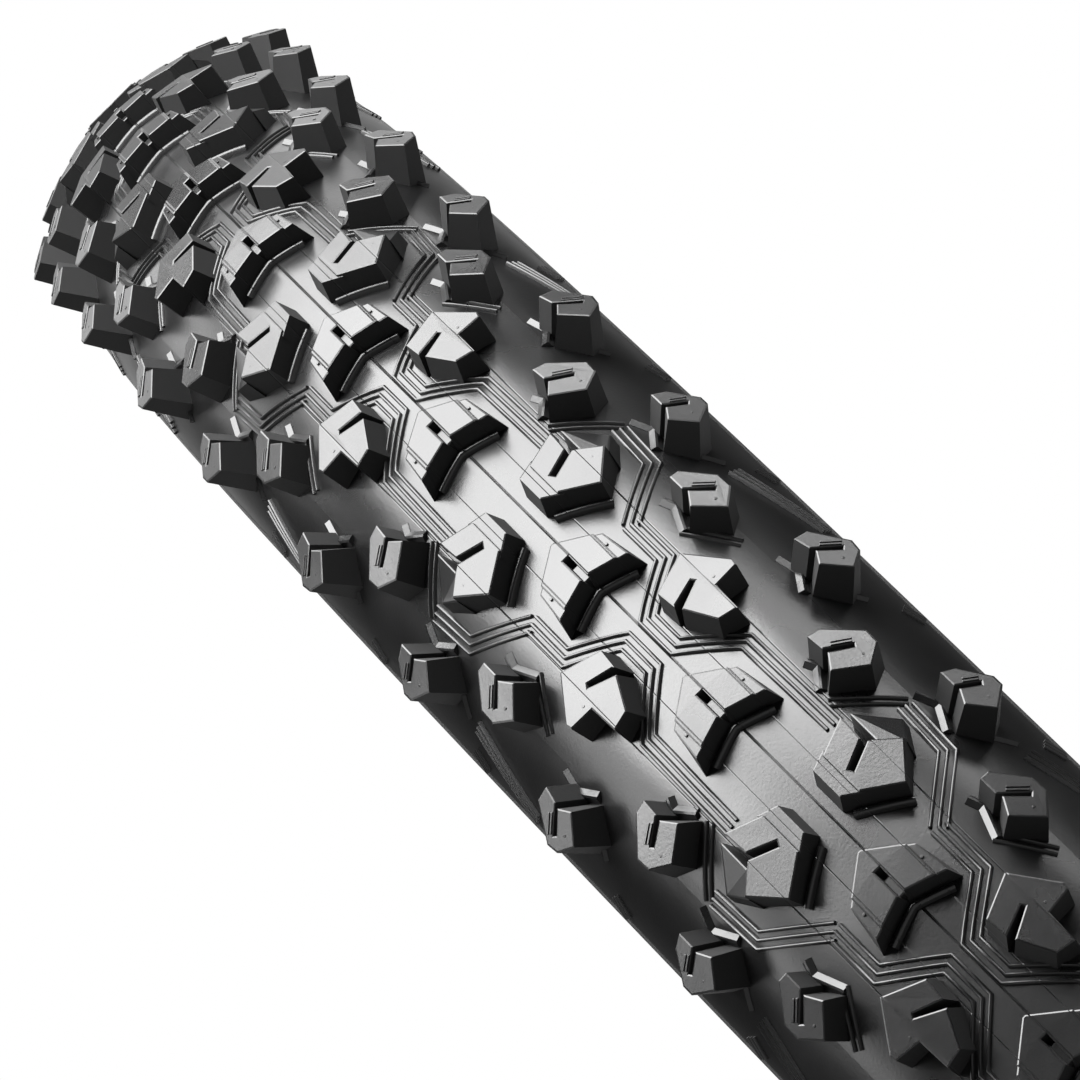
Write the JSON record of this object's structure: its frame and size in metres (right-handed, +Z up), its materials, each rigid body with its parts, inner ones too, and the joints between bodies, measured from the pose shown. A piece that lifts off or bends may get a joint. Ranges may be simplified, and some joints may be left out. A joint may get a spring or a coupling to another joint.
{
  "type": "mountain bike tyre",
  "caption": "Mountain bike tyre with chevron centre knobs and sharp side knobs on a round casing with folding beads",
  "frame": {"origin": "the middle of the wheel, on the axle line and in the tyre's mid plane", "axes": "Y along the axle, Z up, X along the ground; the tread's chevrons point up on the +X side"},
  "size_m": [0.7098, 0.0604, 0.7096],
  "materials": {
    "tread_rubber": "satin moulded rubber",
    "side_rubber": "satin moulded rubber",
    "chafer_rubber": "matt woven-backed rubber",
    "base_rubber": "matt",
    "liner_rubber": "matt",
    "carcass_cord": "rubberised nylon cord",
    "belt_cord": "rubberised woven belt",
    "bead_cord": "coiled aramid yarn"
  },
  "bodies": {
    "root": {"tread_centre": "tread_rubber", "tread_shoulder_right": "tread_rubber", "tread_shoulder_left": "tread_rubber", "undertread": "base_rubber", "breaker_belt": "belt_cord", "sidewall_right": "side_rubber", "sidewall_left": "side_rubber", "carcass_ply": "carcass_cord", "inner_liner": "liner_rubber", "bead_core_right": "bead_cord", "bead_core_left": "bead_cord", "bead_filler_right": "base_rubber", "bead_filler_left": "base_rubber", "chafer_right": "chafer_rubber", "chafer_left": "chafer_rubber"}
  },
  "joints": []
}
